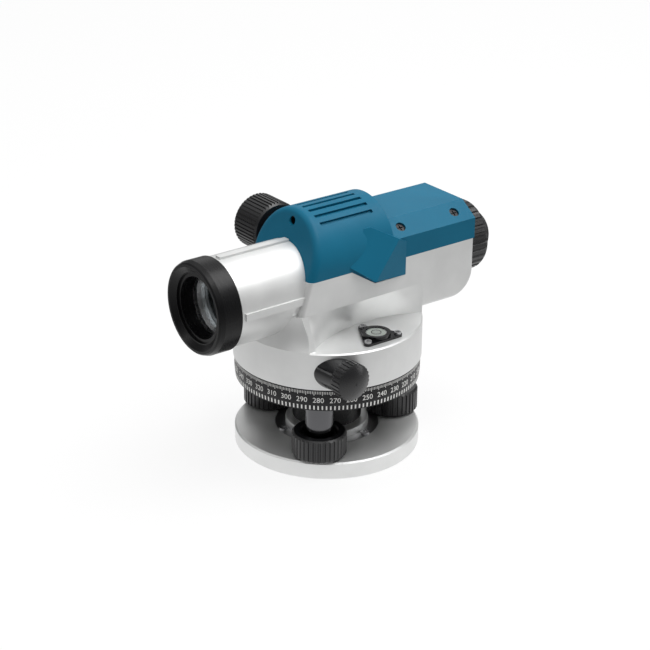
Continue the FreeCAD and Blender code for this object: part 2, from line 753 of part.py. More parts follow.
def grip_groove(bearing):
    groove = block(-groove_width / 2, groove_width / 2, grip_front, grip_rear,
                   body_half_width - groove_depth, body_half_width + 2)
    groove.rotate(V(0, 0, 0), Y_AXIS, bearing)
    groove.translate(V(0, 0, arch_z))
    return groove


def chamfer_normal():
    return V(roof_z - shoulder_z, 0, body_half_width - roof_half_width).normalize()


def cover_screw_place(y):
    return V((body_half_width + roof_half_width) / 2, y, (shoulder_z + roof_z) / 2)


def screw_post(y):
    """A gusset on the side wall that takes the thread of one cover screw."""
    normal = chamfer_normal()
    across = normal.cross(Y_AXIS)
    top = cover_screw_place(y) - normal * (screw_boss_depth + SLIP)
    ends = (top + across * post_half_width, top - across * post_half_width)
    inner, outer = sorted(ends, key=lambda p: p.x)
    wall = body_half_width - body_wall
    outline = [V(wall + 0.5, y, split_z - 16), V(inner.x - 0.9, y, split_z + 1), inner, outer,
               V(wall - 0.1, y, split_z + 4), V(wall - 0.1, y, split_z), V(wall + 0.5, y, split_z)]
    post = plate([p - V(0, post_half_width, 0) for p in outline], V(0, 2 * post_half_width, 0))
    return post.cut(stand(disc(screw_shank_radius, -14, 0), cover_screw_place(y), normal))


def cover():
    shell = arch(0, arch_rear)
    shell = shell.makeFillet(arch_round, [e for e in shell.Edges if edge_on_front(e)])
    shell = shell.fuse(roof(0, arch_rear - 12, body_rear))
    hollow = arch(cover_wall, arch_rear - cover_wall)
    hollow = hollow.fuse(roof(cover_wall, arch_rear - 14, body_rear - cover_wall))
    hollow.translate(V(0, 0, -0.01))
    shell = shell.cut(hollow)
    tongue = plate(tongue_outline(tongue_drop - AIR, body_half_width - cover_wall), V(cover_wall, 0, 0))
    shell = shell.fuse(tongue)
    below = block(-60, body_half_width - cover_wall, -60, 100, split_z - 20, split_z)
    shell = shell.fuse(mirror_hood().cut([hollow, below]))
    for k in range(grip_grooves):
        shell = shell.cut(grip_groove((k - (grip_grooves - 1) / 2) * grip_step))
    shell = shell.cut(rod_y(sight_radius, -60, arch_rear + 20, split_z + sight_rise))
    shell = shell.cut(rod_x(focus_bush_radius + SLIP, -60, 0, focus_place, focus_z))
    shell = shell.cut(rod_y(tube_radius + SLIP, -60, 0, scope_z))
    shell = shell.cut(rod_y(eye_tube_radius + SLIP, body_rear - 10, body_rear + 1, scope_z))
    normal = chamfer_normal()
    for y in cover_screw_places:
        place = cover_screw_place(y)
        sink = stand(disc(screw_head_radius + SLIP, -screw_head_depth - screw_recess, 5), place, normal)
        hole = stand(disc(screw_shank_radius + SLIP, -12, 0), place, normal)
        boss = stand(disc(screw_boss_radius, -screw_boss_depth, -1.0), place, normal)
        shell = shell.fuse([boss, mirror_x(boss)])
        shell = shell.cut([sink, hole, mirror_x(sink), mirror_x(hole)])
    return shell.removeSplitter()


# ---- objective ----------------------------------------------------------------------
ring_front = -(ring_rear + ring_length)
cell_front = -(ring_rear + 0.2)
cell_outer = tube_radius - tube_wall - SLIP
lens_front = ring_front + lens_depth
lens_radius = cell_outer - cell_wall


def objective_ring():
    """The black hood on the tube's mouth: a bevelled rim, one step and a deep bore."""
    seat = tube_radius + SLIP
    profile = [(ring_bore, 3.6), (ring_bore, ring_length - 2.9), (seat, ring_length - 2.9),
               (seat, ring_length), (ring_radius - 0.5, ring_length), (ring_radius, ring_length - 0.5),
               (ring_radius, 3.4), (ring_front_radius, 0.8), (ring_front_radius - 0.8, 0),
               (ring_mouth, 0), (ring_step + 0.6, 2.4), (ring_step, 2.4), (ring_step, 3.6)]
    return turned(profile, V(0, ring_front, scope_z), Y_AXIS)


def objective_cell():
    length = cell_length
    profile = [(lens_radius, 0), (cell_outer, 0), (cell_outer, length), (lens_radius - 1.6, length),
               (lens_radius - 1.6, length - 3.0), (lens_radius, length - 3.0)]
    return turned(profile, V(0, cell_front, scope_z), Y_AXIS)


def lens(radius, front_bulge, middle, rear_bulge, place):
    """A round glass: a flat cylinder with a spherical cap, hollow or full, on each side."""
    body = rod_y(radius, place, place + middle, scope_z)
    for bulge, face, outward in ((front_bulge, place, -1), (rear_bulge, place + middle, 1)):
        if abs(bulge) < 0.01:
            continue
        ball_radius_here = (radius ** 2 + bulge ** 2) / (2 * abs(bulge))
        reach = (ball_radius_here - abs(bulge)) * (1 if bulge > 0 else -1)
        centre = face - outward * reach if bulge > 0 else face + outward * (ball_radius_here - abs(bulge))
        ball = Part.makeSphere(ball_radius_here, V(0, centre, scope_z))
        if bulge > 0:
            low = face - bulge - 1 if outward < 0 else face - 0.5
            high = face + 0.5 if outward < 0 else face + bulge + 1
            body = body.fuse(ball.common(rod_y(radius, low, high, scope_z)))
        else:
            body = body.cut(ball)
    return body.removeSplitter()


def objective_lenses():
    glass = lens_radius - 0.05
    crown = lens(glass, lens_bulge, crown_thickness, 0, lens_front + lens_bulge)
    flint = lens(glass, 0, flint_thickness, -0.8, lens_front + lens_bulge + crown_thickness + 0.1)
    return crown, flint


def lens_retainer():
    place = lens_front + lens_bulge + crown_thickness + flint_thickness + 0.2
    return pipe_y(lens_radius - SLIP, lens_radius - 1.8, place, cell_front + cell_length - 3.1, scope_z)


# ---- focusing -----------------------------------------------------------------------
tube_bore = tube_radius - tube_wall


def focus_guide():
    """The fixed tube that the focusing slide runs in, slotted along its top for the rack."""
    flange = rod_y(tube_bore - SLIP, guide_front, guide_front + 3.0, scope_z)
    body = flange.fuse(rod_y(guide_radius, guide_front, guide_rear, scope_z))
    body = body.cut(rod_y(guide_bore + RUNNING, guide_front - 1, guide_rear + 1, scope_z))
    slot = block(-rack_width / 2 - AIR, rack_width / 2 + AIR, guide_front + 5.0, guide_rear + 1,
                 scope_z, scope_z + guide_radius + 2)
    return body.cut(slot)


def focus_slide():
    body = rod_y(guide_bore, slide_front, slide_rear, scope_z)
    bar_low = scope_z + guide_bore - 1.2
    pitch_z = focus_z - pinion_radius
    root_z = pitch_z - gear_module * 1.2
    bar = block(-rack_width / 2, rack_width / 2, slide_front, slide_rear, bar_low, root_z)
    step = math.pi * gear_module
    tooth = [V(-rack_width / 2, -0.66 * step / 2 - 0.0, root_z - 0.1),
             V(-rack_width / 2, -0.13 * step, pitch_z + gear_module * 0.75),
             V(-rack_width / 2, 0.13 * step, pitch_z + gear_module * 0.75),
             V(-rack_width / 2, 0.66 * step / 2, root_z - 0.1)]
    count = int((min(slide_rear - focus_place, focus_place - slide_front) - step) / step)
    for k in range(-count - 1, count + 1):
        one = plate(tooth, V(rack_width, 0, 0))
        one.translate(V(0, focus_place + (k + 0.5) * step, 0))
        bar = bar.fuse(one)
    body = body.fuse(bar)
    return body.cut(rod_y(guide_bore - slide_wall, slide_front - 1, slide_rear + 1, scope_z)).removeSplitter()


def focus_lens():
    return lens(guide_bore - slide_wall - 0.05, -0.7, 3.4, -0.7, (slide_front + slide_rear) / 2)


def focus_pinion():
    tip, root = pinion_radius + gear_module * 0.75, pinion_radius - gear_module * 1.15
    body = toothed(pinion_teeth, tip, root, 0.20, 0.60, pinion_width, math.pi / pinion_teeth * 0)
    body = body.cut(disc(focus_shaft_radius, -1, pinion_width + 1))
    body = stand(body, V(-pinion_width / 2, focus_place, focus_z), X_AXIS)
    return body


def focus_shaft():
    return rod_x(focus_shaft_radius, -(focus_knob_outer - 3.0), pinion_width / 2 + 2.0, focus_place, focus_z)


def focus_bush():
    """A flanged bush through the cover's side wall."""
    body = rod_x(focus_bush_radius, -focus_knob_inner + 0.5, -body_half_width + 9.0, focus_place, focus_z)
    collar = rod_x(focus_collar_radius, -focus_knob_inner + 0.5, -body_half_width - 0.05,
                   focus_place, focus_z)
    body = body.fuse(collar)
    body = body.cut(rod_x(focus_shaft_radius + RUNNING, -100, 50, focus_place, focus_z))
    return body.cut(body_side_room())


def body_side_room():
    """Trims the bush's collar to the cover's side, which curves away above the collar."""
    outer = arch(-0.05, arch_rear)
    return outer.cut(rod_x(focus_bush_radius, -60, 0, focus_place, focus_z))


def focus_knob():
    length = focus_knob_outer - focus_knob_inner
    grip = ribbed(focus_knob_radius, focus_knob_ribs, length, 0.7)
    envelope = turned([(0, 0), (focus_knob_radius - 1.4, 0), (focus_knob_radius + 0.01, 1.4),
                       (focus_knob_radius + 0.01, length - 1.6), (focus_knob_radius - 1.6, length),
                       (focus_knob_radius - 4.0, length), (focus_knob_radius - 4.8, length - 0.8),
                       (0, length - 0.8)])
    body = grip.common(envelope)
    body = body.cut(disc(focus_shaft_radius, -1, length - 3.0))
    room = disc(focus_collar_radius + AIR, -1, 1.0)
    return stand(body.cut(room), V(-focus_knob_inner, focus_place, focus_z), V(-1, 0, 0))


# ---- compensator --------------------------------------------------------------------
comp_front, comp_rear = comp_middle - comp_half_length, comp_middle + comp_half_length
comp_floor = drum_top + 6.0
pivot_z = scope_z + comp_top_rise - comp_plate - 1.2


def comp_frame():
    w, t = comp_half_width, comp_plate
    top = scope_z + comp_top_rise
    body = block(-w, w, comp_front, comp_rear, comp_floor, comp_floor + t)
    for side in (-1, 1):
        x0, x1 = sorted((side * w, side * (w - t)))
        body = body.fuse(block(x0, x1, comp_front, comp_rear, comp_floor, top))
    bar = block(-w, w, comp_middle - 4, comp_middle + 4, top - t, top)
    body = body.fuse([bar, damper_cup()] + prism_pillars())
    seat = scope_z - prism_side + 1.0
    return body.cut(disc(damper_radius, seat - 6.2, seat, 0, comp_middle)).removeSplitter()


def fixed_prisms():
    """Two right-angle prisms, before and behind the swinging one, on low pillars."""
    found = []
    for y0, y1 in ((comp_front + 0.2, comp_front + prism_side), (comp_rear - 0.2, comp_rear - prism_side)):
        outline = [V(-prism_half_width, y0, scope_z - prism_side),
                   V(-prism_half_width, y0, scope_z + prism_side),
                   V(-prism_half_width, y1, scope_z - prism_side)]
        found.append(plate(outline, V(2 * prism_half_width, 0, 0)))
    return found


def prism_pillars():
    found = []
    for y0, y1 in ((comp_front, comp_front + prism_side), (comp_rear - prism_side, comp_rear)):
        found.append(block(-prism_half_width, prism_half_width, y0, y1, comp_floor, scope_z - prism_side))
    return found


def pendulum_arm():
    """The swinging frame: a crossbar under the wires, two cheeks, a prism seat and a damper rod."""
    half = prism_half_width + 3.0
    top = pivot_z - 0.2
    seat = scope_z - prism_side + 1.0
    body = block(-half, half, comp_middle - 2.5, comp_middle + 2.5, top - 2.0, top)
    for side in (-1, 1):
        x0, x1 = sorted((side * half, side * (half - 2.0)))
        body = body.fuse(block(x0, x1, comp_middle - 2.5, comp_middle + 2.5, seat - 2.0, top))
    body = body.fuse(block(-half, half, comp_middle - 2.5, comp_middle + 2.5, seat - 2.0, seat))
    body = body.fuse(disc(1.5, seat - 4.6, seat - 1.0, 0, comp_middle))
    return body.fuse(disc(damper_radius - 0.5, seat - 5.6, seat - 4.4, 0, comp_middle)).removeSplitter()


def swinging_prism():
    seat = scope_z - prism_side + 1.0
    outline = [V(-prism_half_width, comp_middle - 5.0, seat), V(-prism_half_width, comp_middle + 5.0, seat),
               V(-prism_half_width, comp_middle, seat + 12.0)]
    return plate(outline, V(2 * prism_half_width, 0, 0))


def damper_cup():
    seat = scope_z - prism_side + 1.0
    return disc(damper_radius + 1.2, comp_floor, seat - 3.0, 0, comp_middle)


def suspension_wires():
    top = scope_z + comp_top_rise - comp_plate
    found = []
    for x in (-prism_half_width, prism_half_width):
        for y in (-1.5, 1.5):
            found.append(disc(wire_radius, pivot_z - 0.1, top, x, comp_middle + y))
    return found


# ---- reticle and eyepiece -----------------------------------------------------------
def eyepiece_tube():
    body = rod_y(eye_tube_radius, eye_tube_front, eye_tube_rear, scope_z)
    body = body.fuse(rod_y(eye_flange_radius, body_rear, body_rear + 2.2, scope_z))
    body = body.cut(rod_y(eye_tube_radius - eye_tube_wall, eye_tube_front - 1, eye_tube_rear + 1, scope_z))
    for turn in range(4):
        hole = disc(1.0 + SLIP, 0, eye_tube_radius + 2)
        body = body.cut(stand(hole, V(0, reticle_place + 2, scope_z), reticle_direction(turn)))
    return body


def reticle_direction(turn):
    angle = math.radians(45 + 90 * turn)
    return V(math.cos(angle), 0, math.sin(angle))


def reticle_ring():
    ring = pipe_y(reticle_ring_radius, reticle_radius - 1.0, reticle_place, reticle_place + 4.0, scope_z)
    return ring.cut(rod_y(reticle_radius, reticle_place + 2.5, reticle_place + 5, scope_z))


def reticle_glass():
    return rod_y(reticle_radius - 0.05, reticle_place + 2.5, reticle_place + 3.8, scope_z)


def reticle_screws():
    found = []
    for turn in range(4):
        outward = reticle_direction(turn)
        start = V(0, reticle_place + 2, scope_z) + outward * reticle_ring_radius
        found.append(stand(disc(1.0, 0, eye_tube_radius + 1.4 - reticle_ring_radius), start, outward))
    return found


def eyepiece_cover():
    """The ribbed cap round the eyepiece, screwed on to the housing's rear."""
    front = body_rear + 0.05
    length = eye_cover_rear - front
    grip = ribbed(eye_cover_radius, eye_cover_ribs, length, 0.9)
    plain = turned([(0, 0), (eye_cover_radius, 0), (eye_cover_radius, 4.5), (eye_cover_radius - 1.0, 5.0),
                    (eye_cover_radius - 1.0, length), (0, length)])
    rounded = turned([(0, 0), (eye_cover_radius + 0.01, 0), (eye_cover_radius + 0.01, length - 2.4),
                      (eye_cover_radius - 0.8, length - 0.8), (eye_cover_radius - 2.4, length), (0, length)])
    body = grip.fuse(plain).common(rounded)
    room = turned([(0, -1), (eye_flange_radius + 0.3, -1), (eye_flange_radius + 0.3, length - 4.0),
                   (diopter_radius + 0.8, length - 2.0), (diopter_radius + 0.8, length + 1), (0, length + 1)])
    return stand(body.cut(room), V(0, front, scope_z), Y_AXIS)


def diopter_ring():
    length = diopter_rear - diopter_front
    grip = ribbed(diopter_radius, diopter_ribs, length, 0.5)
    bore = eye_tube_radius + RUNNING
    room = turned([(0, -1), (bore, -1), (bore, eye_tube_rear - diopter_front + 0.3),
                   (eye_lens_radius - 0.4, eye_tube_rear - diopter_front + 0.3),
                   (eye_lens_radius - 0.4, length + 1), (0, length + 1)])
    return stand(grip.cut(room), V(0, diopter_front, scope_z), Y_AXIS)


def eyecup():
    length = eyecup_rear - diopter_rear
    outer = diopter_radius - 1.2
    cup = turned([(eye_lens_radius, 0), (outer, 0), (outer, length - 1.2), (outer - 1.2, length),
                  (outer - 2.6, length), (eye_lens_radius + 0.6, 1.4), (eye_lens_radius, 1.4)])
    return stand(cup, V(0, diopter_rear, scope_z), Y_AXIS)


def eye_cell():
    outer = eye_tube_radius - eye_tube_wall - RUNNING
    return pipe_y(outer, eye_lens_radius + 0.05, eye_cell_front, eye_cell_front + eye_cell_length, scope_z)


def eye_lenses():
    first = lens(eye_lens_radius, 0, 2.2, 0.9, eye_cell_front + 0.8)
    second = lens(eye_lens_radius, 0.9, 2.2, 0, eye_cell_front + eye_cell_length - 4.0)
    return first, second


# ---- circular level -----------------------------------------------------------------
def level_holder():
    """A flat plate with three lobes and a raised ring for the vial."""
    low, high = drum_top, drum_top + level_plate
    body = disc(level_ring_radius, low, drum_top + level_height, level_x, level_y)
    corners = level_lobes()
    web = plate([p + V(0, 0, low) for p in corners], V(0, 0, high - low))
    body = body.fuse(web)
    for p, q in zip(corners, corners[1:] + corners[:1]):
        side = (q - p).cross(Z_AXIS).normalize() * level_lobe_radius
        body = body.fuse(plate([r + V(0, 0, low) for r in (p + side, q + side, q - side, p - side)],
                               V(0, 0, high - low)))
    for p in corners:
        body = body.fuse(disc(level_lobe_radius, low, high, p.x, p.y))
    body = body.removeSplitter()
    body = body.cut(disc(vial_radius + SLIP, low + level_floor, drum_top + level_height + 1,
                         level_x, level_y))
    for p in corners:
        body = body.cut(disc(1.0 + SLIP, low - 1, high + 1, p.x, p.y))
    return body


def level_screws():
    return [screw(2.0, 1.2, 1.0, level_plate + 1.8, V(p.x, p.y, drum_top + level_plate), Z_AXIS)
            for p in level_lobes()]


def level_vial():
    low = drum_top + level_floor
    high = drum_top + level_height - 0.3
    body = disc(vial_radius, low, high, level_x, level_y)
    return body.cut(disc(vial_radius - vial_wall, low + vial_wall, high - vial_wall, level_x, level_y))


def vial_liquid():
    low = drum_top + level_floor + vial_wall + 0.05
    high = drum_top + level_height - 0.3 - vial_wall - 0.05
    return disc(vial_radius - vial_wall - 0.05, low, high, level_x, level_y)


# ---- loose and fixed trim -----------------------------------------------------------
def cover_screws():
    """Cross-slot screws sunk in the roof's chamfers, threaded into the housing's posts."""
    normal = chamfer_normal()
    found = []
    for y in cover_screw_places:
        seat = cover_screw_place(y) - normal * (screw_head_depth + screw_recess)
        one = screw(screw_head_radius, screw_head_depth, screw_shank_radius, 9.0, seat, normal)
        found += [one, mirror_x(one)]
    return found


def sight_tube():
    front = front_y(split_z + sight_rise) + 1.2
    return pipe_y(sight_radius - 0.02, sight_radius - 0.7, front, arch_rear - 0.4, split_z + sight_rise)


def bottom_plate():
    body = disc(drum_radius - drum_wall - SLIP, plate_low, plate_top)
    return body.cut(disc(circle_collar + 1.5, plate_low - 1, plate_top + 1))


def axis_screws():
    found = []
    for bearing in (30, 150, 270):
        p = polar(axis_screw_circle, bearing)
        found.append(screw(2.6, 1.4, screw_shank_radius, 7.0, V(p.x, p.y, drum_ceiling - 3.0), V(0, 0, -1)))
    return found


def clutch_spring():
    low = worm_z + wheel_width / 2 + 0.05
    return pipe_z(clutch_collar + 2.2, clutch_collar + RUNNING, low, low + 0.9)


def clutch_ring():
    low = worm_z + wheel_width / 2 + 1.0
    return pipe_z(clutch_collar + 1.8, clutch_collar - 0.55, low + 0.03, low + 0.87)


def friction_washer():
    low = worm_z - wheel_width / 2 - 1.15
    return pipe_z(clutch_shoulder, clutch_collar + RUNNING, low, low + 1.1)


def centring_ring():
    low = boss_top + 0.95
    return pipe_z(centring_outer, centring_inner, low, hub_low + ring_seat_depth - 0.5)


def clamp_screws():
    found = []
    for bearing in foot_bearings:
        p = polar(clamp_screw_circle, bearing + 60, base_top)
        found.append(screw(2.6, 0.9, screw_shank_radius, 4.8, p, Z_AXIS))
    return found


def bubble_mirror():
    """A small mirror glued under the hood's sloping underside, above the bubble."""
    fall = (tongue_drop - hood_toe_drop) / (tongue_rear - hood_toe)
    glass = block(body_half_width + 0.2, body_half_width + 3.2, 9.0 - hood_toe, 17.0 - hood_toe, -0.9, -0.05)
    glass.rotate(V(0, 0, 0), X_AXIS, -math.degrees(math.atan(fall)))
    glass.translate(V(0, hood_toe, split_z - hood_toe_drop))
    return glass


def level_lobes():
    centre = V(level_x, level_y, 0)
    return [centre + polar(level_lobe_circle, bearing) for bearing in (-60, 60, 180)]


# ---- the nodes ----------------------------------------------------------------------
for letter, (x, y) in zip("abc", foot_places):
    save("foot_screw_" + letter, foot_screw(x, y))
    save("foot_knob_" + letter, foot_knob(x, y))
save("foot_sleeves", *[foot_sleeve(x, y) for x, y in foot_places])
save("axis_retainer", *axis_retainer())
save("drive_bosses", drive_boss(), mirror_x(drive_boss()))
save("drive_knobs", drive_knob(), mirror_x(drive_knob()))
save("drive_shaft", rod_x(drive_shaft_radius, -drive_reach + 4.0 + drive_dome, drive_reach - 4.0 - drive_dome,
                          worm_y, worm_z))
save("objective_lenses", *objective_lenses())
save("fixed_prisms", *fixed_prisms())
save("suspension_wires", *suspension_wires())
save("reticle_screws", *reticle_screws())
save("eyepiece_lenses", *eye_lenses())
save("level_screws", *level_screws())
save("cover_screws", *cover_screws())
save("axis_screws", *axis_screws())
save("clamp_screws", *clamp_screws())

SINGLE_PIECES = {
    "base_plate": base_plate, "spring_plate": spring_plate, "levelling_head": levelling_head,
    "centring_ring": centring_ring, "horizontal_circle": horizontal_circle, "axis_bush": axis_bush,
    "axis_spindle": axis_spindle, "worm_wheel": worm_wheel, "worm": worm, "clutch_spring": clutch_spring,
    "clutch_ring": clutch_ring, "friction_washer": friction_washer, "housing": housing, "cover": cover,
    "bottom_plate": bottom_plate, "objective_ring": objective_ring, "objective_cell": objective_cell,
    "lens_retainer": lens_retainer, "focus_guide": focus_guide, "focus_slide": focus_slide,
    "focus_lens": focus_lens, "focus_pinion": focus_pinion, "focus_shaft": focus_shaft,
    "focus_bush": focus_bush, "focus_knob": focus_knob, "comp_frame": comp_frame,
    "pendulum_arm": pendulum_arm, "swinging_prism": swinging_prism, "eyepiece_tube": eyepiece_tube,
    "reticle_ring": reticle_ring, "reticle_glass": reticle_glass,
    "eyepiece_cover": eyepiece_cover, "diopter_ring": diopter_ring, "eyecup": eyecup, "eye_cell": eye_cell,
    "level_holder": level_holder, "level_vial": level_vial, "vial_liquid": vial_liquid,
    "sight_tube": sight_tube, "bubble_mirror": bubble_mirror,
}
for node, make in SINGLE_PIECES.items():
    save(node, make())
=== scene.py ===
import math

import bpy
from mathutils import Matrix, Vector


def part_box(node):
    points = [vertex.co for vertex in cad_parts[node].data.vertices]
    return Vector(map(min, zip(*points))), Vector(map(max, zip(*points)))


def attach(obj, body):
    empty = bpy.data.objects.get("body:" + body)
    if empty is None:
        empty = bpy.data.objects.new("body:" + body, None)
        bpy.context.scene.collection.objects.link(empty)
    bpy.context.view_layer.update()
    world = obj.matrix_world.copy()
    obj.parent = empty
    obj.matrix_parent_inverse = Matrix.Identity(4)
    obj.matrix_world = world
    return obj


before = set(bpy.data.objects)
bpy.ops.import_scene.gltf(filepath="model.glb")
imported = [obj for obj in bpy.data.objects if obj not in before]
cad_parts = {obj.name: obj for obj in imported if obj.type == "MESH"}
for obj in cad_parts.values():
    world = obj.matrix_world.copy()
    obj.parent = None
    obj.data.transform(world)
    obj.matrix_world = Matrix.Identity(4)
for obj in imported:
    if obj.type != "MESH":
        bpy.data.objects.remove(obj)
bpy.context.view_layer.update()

# ---- camera, floor and lamps ----
# A small product studio: the instrument stands on a white sheet, in front of a long
# lens, under one large soft box with paler ones on either side.
scene = bpy.context.scene
scene.view_settings.view_transform = "Standard"
mm = 0.001

look_at = Vector((-1.865, -0.384, 70.28)) * mm
camera_place = Vector((767.65, -586.42, 505.65)) * mm
camera_roll = math.radians(0.487)
bpy.ops.object.camera_add(location=camera_place)
camera = bpy.context.object
aim = (look_at - camera_place).to_track_quat("-Z", "Y").to_matrix().to_4x4()
camera.matrix_world = Matrix.Translation(camera_place) @ aim @ Matrix.Rotation(camera_roll, 4, "Z")
camera.data.sensor_width = 36
camera.data.lens = 103.0
camera.data.clip_end = 20
scene.camera = camera

bpy.ops.object.select_all(action="DESELECT")
bpy.ops.mesh.primitive_plane_add(size=8.0, location=(0, 0, 0))
floor = bpy.context.object
floor.name = "floor"

floor_white_and_painted_glow = bpy.data.materials.new("floor_white_and_painted_glow")
floor_white_and_painted_glow.use_nodes = True
nodes = floor_white_and_painted_glow.node_tree.nodes
links = floor_white_and_painted_glow.node_tree.links
nodes.clear()
output = nodes.new("ShaderNodeOutputMaterial")
paper = nodes.new("ShaderNodeBsdfDiffuse")
paper.inputs["Color"].default_value = (0.82, 0.82, 0.82, 1)
glow = nodes.new("ShaderNodeEmission")
glow.inputs["Color"].default_value = (1, 1, 1, 1)
glow.inputs["Strength"].default_value = 1.0
lit_paper = nodes.new("ShaderNodeMixShader")
lit_paper.inputs["Fac"].default_value = 0.85
links.new(paper.outputs[0], lit_paper.inputs[1])
links.new(glow.outputs[0], lit_paper.inputs[2])
# For every ray but the camera's, the floor is a painted glow instead of lit paper. It is brightest
# round the instrument's base and fades outwards: a painted pool of bounce light that lights the
# instrument and shows in its silver.
place = nodes.new("ShaderNodeTexCoord")
distance = nodes.new("ShaderNodeVectorMath")
distance.operation = "LENGTH"
links.new(place.outputs["Object"], distance.inputs[0])
glow_falloff = nodes.new("ShaderNodeMapRange")
glow_falloff.inputs["From Min"].default_value = 0.08
glow_falloff.inputs["From Max"].default_value = 0.40
glow_falloff.inputs["To Min"].default_value = 1.05
glow_falloff.inputs["To Max"].default_value = 0.42
links.new(distance.outputs["Value"], glow_falloff.inputs["Value"])
painted_bounce_glow = nodes.new("ShaderNodeEmission")
links.new(glow_falloff.outputs["Result"], painted_bounce_glow.inputs["Strength"])
seen = nodes.new("ShaderNodeLightPath")
share = nodes.new("ShaderNodeMixShader")
links.new(seen.outputs["Is Camera Ray"], share.inputs["Fac"])
links.new(painted_bounce_glow.outputs[0], share.inputs[1])
links.new(lit_paper.outputs[0], share.inputs[2])
links.new(share.outputs[0], output.inputs["Surface"])
floor.data.materials.append(floor_white_and_painted_glow)

studio = bpy.data.worlds.new("studio")
scene.world = studio
studio.use_nodes = True
nodes = studio.node_tree.nodes
links = studio.node_tree.links
nodes.clear()
output = nodes.new("ShaderNodeOutputWorld")
place = nodes.new("ShaderNodeTexCoord")
height = nodes.new("ShaderNodeSeparateXYZ")
links.new(place.outputs["Generated"], height.inputs[0])
rising = nodes.new("ShaderNodeMapRange")
rising.inputs["From Min"].default_value = 0.35
rising.inputs["From Max"].default_value = 0.85
rising.inputs["To Min"].default_value = 0.27
rising.inputs["To Max"].default_value = 1.30
links.new(height.outputs["Z"], rising.inputs["Value"])
walls = nodes.new("ShaderNodeBackground")
links.new(rising.outputs["Result"], walls.inputs["Strength"])
backdrop = nodes.new("ShaderNodeBackground")
backdrop.inputs["Color"].default_value = (1, 1, 1, 1)
share = nodes.new("ShaderNodeMixShader")
seen = nodes.new("ShaderNodeLightPath")
links.new(seen.outputs["Is Camera Ray"], share.inputs["Fac"])
links.new(walls.outputs[0], share.inputs[1])
links.new(backdrop.outputs[0], share.inputs[2])
links.new(share.outputs[0], output.inputs["Surface"])

lamp_aim = 80 * mm


def soft_box(name, place, width, height, watts):
    """A rectangular lamp that faces the middle of the instrument."""
    bpy.ops.object.light_add(type="AREA", location=place)
    lamp = bpy.context.object
    lamp.name = name
    lamp.data.shape = "RECTANGLE"
    lamp.data.size = width
    lamp.data.size_y = height
    lamp.data.energy = watts
    towards = Vector((0, 0, lamp_aim)) - Vector(place)
    lamp.rotation_euler = towards.to_track_quat("-Z", "Y").to_euler()


soft_box("overhead_box", (0.20, 0.30, 1.15), 0.9, 0.9, 11)
soft_box("back_box", (-1.00, 0.80, 0.62), 0.9, 0.6, 1.0)
soft_box("left_box", (-0.55, -1.15, 0.50), 0.25, 0.7, 1.0)
soft_box("right_box", (0.75, 1.00, 0.40), 0.25, 0.7, 1.6)

# ---- housing and base plate ----
# Light-alloy castings, blasted and sprayed with a satin silver enamel. The housing is
# screwed to the turning axis from inside; the base plate takes the tripod screw.


def finish(material, *node_names):
    for name in node_names:
        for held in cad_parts[name].material_slots:
            held.material = material


def surface(name, colour, roughness, metallic=0.0):
    """A new material; returns it with its nodes, its links and its shader."""
    material = bpy.data.materials.new(name)
    material.use_nodes = True
    tree = material.node_tree
    shader = tree.nodes["Principled BSDF"]
    shader.inputs["Base Color"].default_value = (*colour, 1)
    shader.inputs["Roughness"].default_value = roughness
    shader.inputs["Metallic"].default_value = metallic
    return material, tree.nodes, tree.links, shader


def noise(nodes, links, scale, detail=2.0, stretch=(1, 1, 1)):
    """A noise in metres of the piece's own coordinates."""
    place = nodes.new("ShaderNodeTexCoord")
    mapping = nodes.new("ShaderNodeMapping")
    mapping.inputs["Scale"].default_value = stretch
    pattern = nodes.new("ShaderNodeTexNoise")
    pattern.inputs["Scale"].default_value = scale
    pattern.inputs["Detail"].default_value = detail
    links.new(place.outputs["Object"], mapping.inputs["Vector"])
    links.new(mapping.outputs["Vector"], pattern.inputs["Vector"])
    return pattern


def ramp(nodes, links, source, low, high, start=0.3, end=0.7):
    """Turns a pattern into numbers or colours between low and high."""
    curve = nodes.new("ShaderNodeValToRGB")
    curve.color_ramp.elements[0].position = start
    curve.color_ramp.elements[1].position = end
    for element, value in zip(curve.color_ramp.elements, (low, high)):
        element.color = (*value, 1) if isinstance(value, tuple) else (value, value, value, 1)
    links.new(source, curve.inputs["Fac"])
    return curve


def relief(nodes, links, shader, source, depth, strength=1.0):
    """Raises the surface by a pattern, depth in metres."""
    bump = nodes.new("ShaderNodeBump")
    bump.inputs["Distance"].default_value = depth
    bump.inputs["Strength"].default_value = strength
    links.new(source, bump.inputs["Height"])
    links.new(bump.outputs["Normal"], shader.inputs["Normal"])


silver_paint, nodes, links, shader = surface("satin_silver_enamel", (0.72, 0.725, 0.72), 0.40, 0.62)
cloud = noise(nodes, links, 60.0, 3.0)
tone = ramp(nodes, links, cloud.outputs["Fac"], (0.69, 0.695, 0.69), (0.75, 0.755, 0.75))
links.new(tone.outputs["Color"], shader.inputs["Base Color"])
gloss = ramp(nodes, links, cloud.outputs["Fac"], 0.38, 0.44)
links.new(gloss.outputs["Color"], shader.inputs["Roughness"])
grain = noise(nodes, links, 3200.0, 1.0)
relief(nodes, links, shader, grain.outputs["Fac"], 0.00002, 0.2)
finish(silver_paint, "housing", "base_plate")

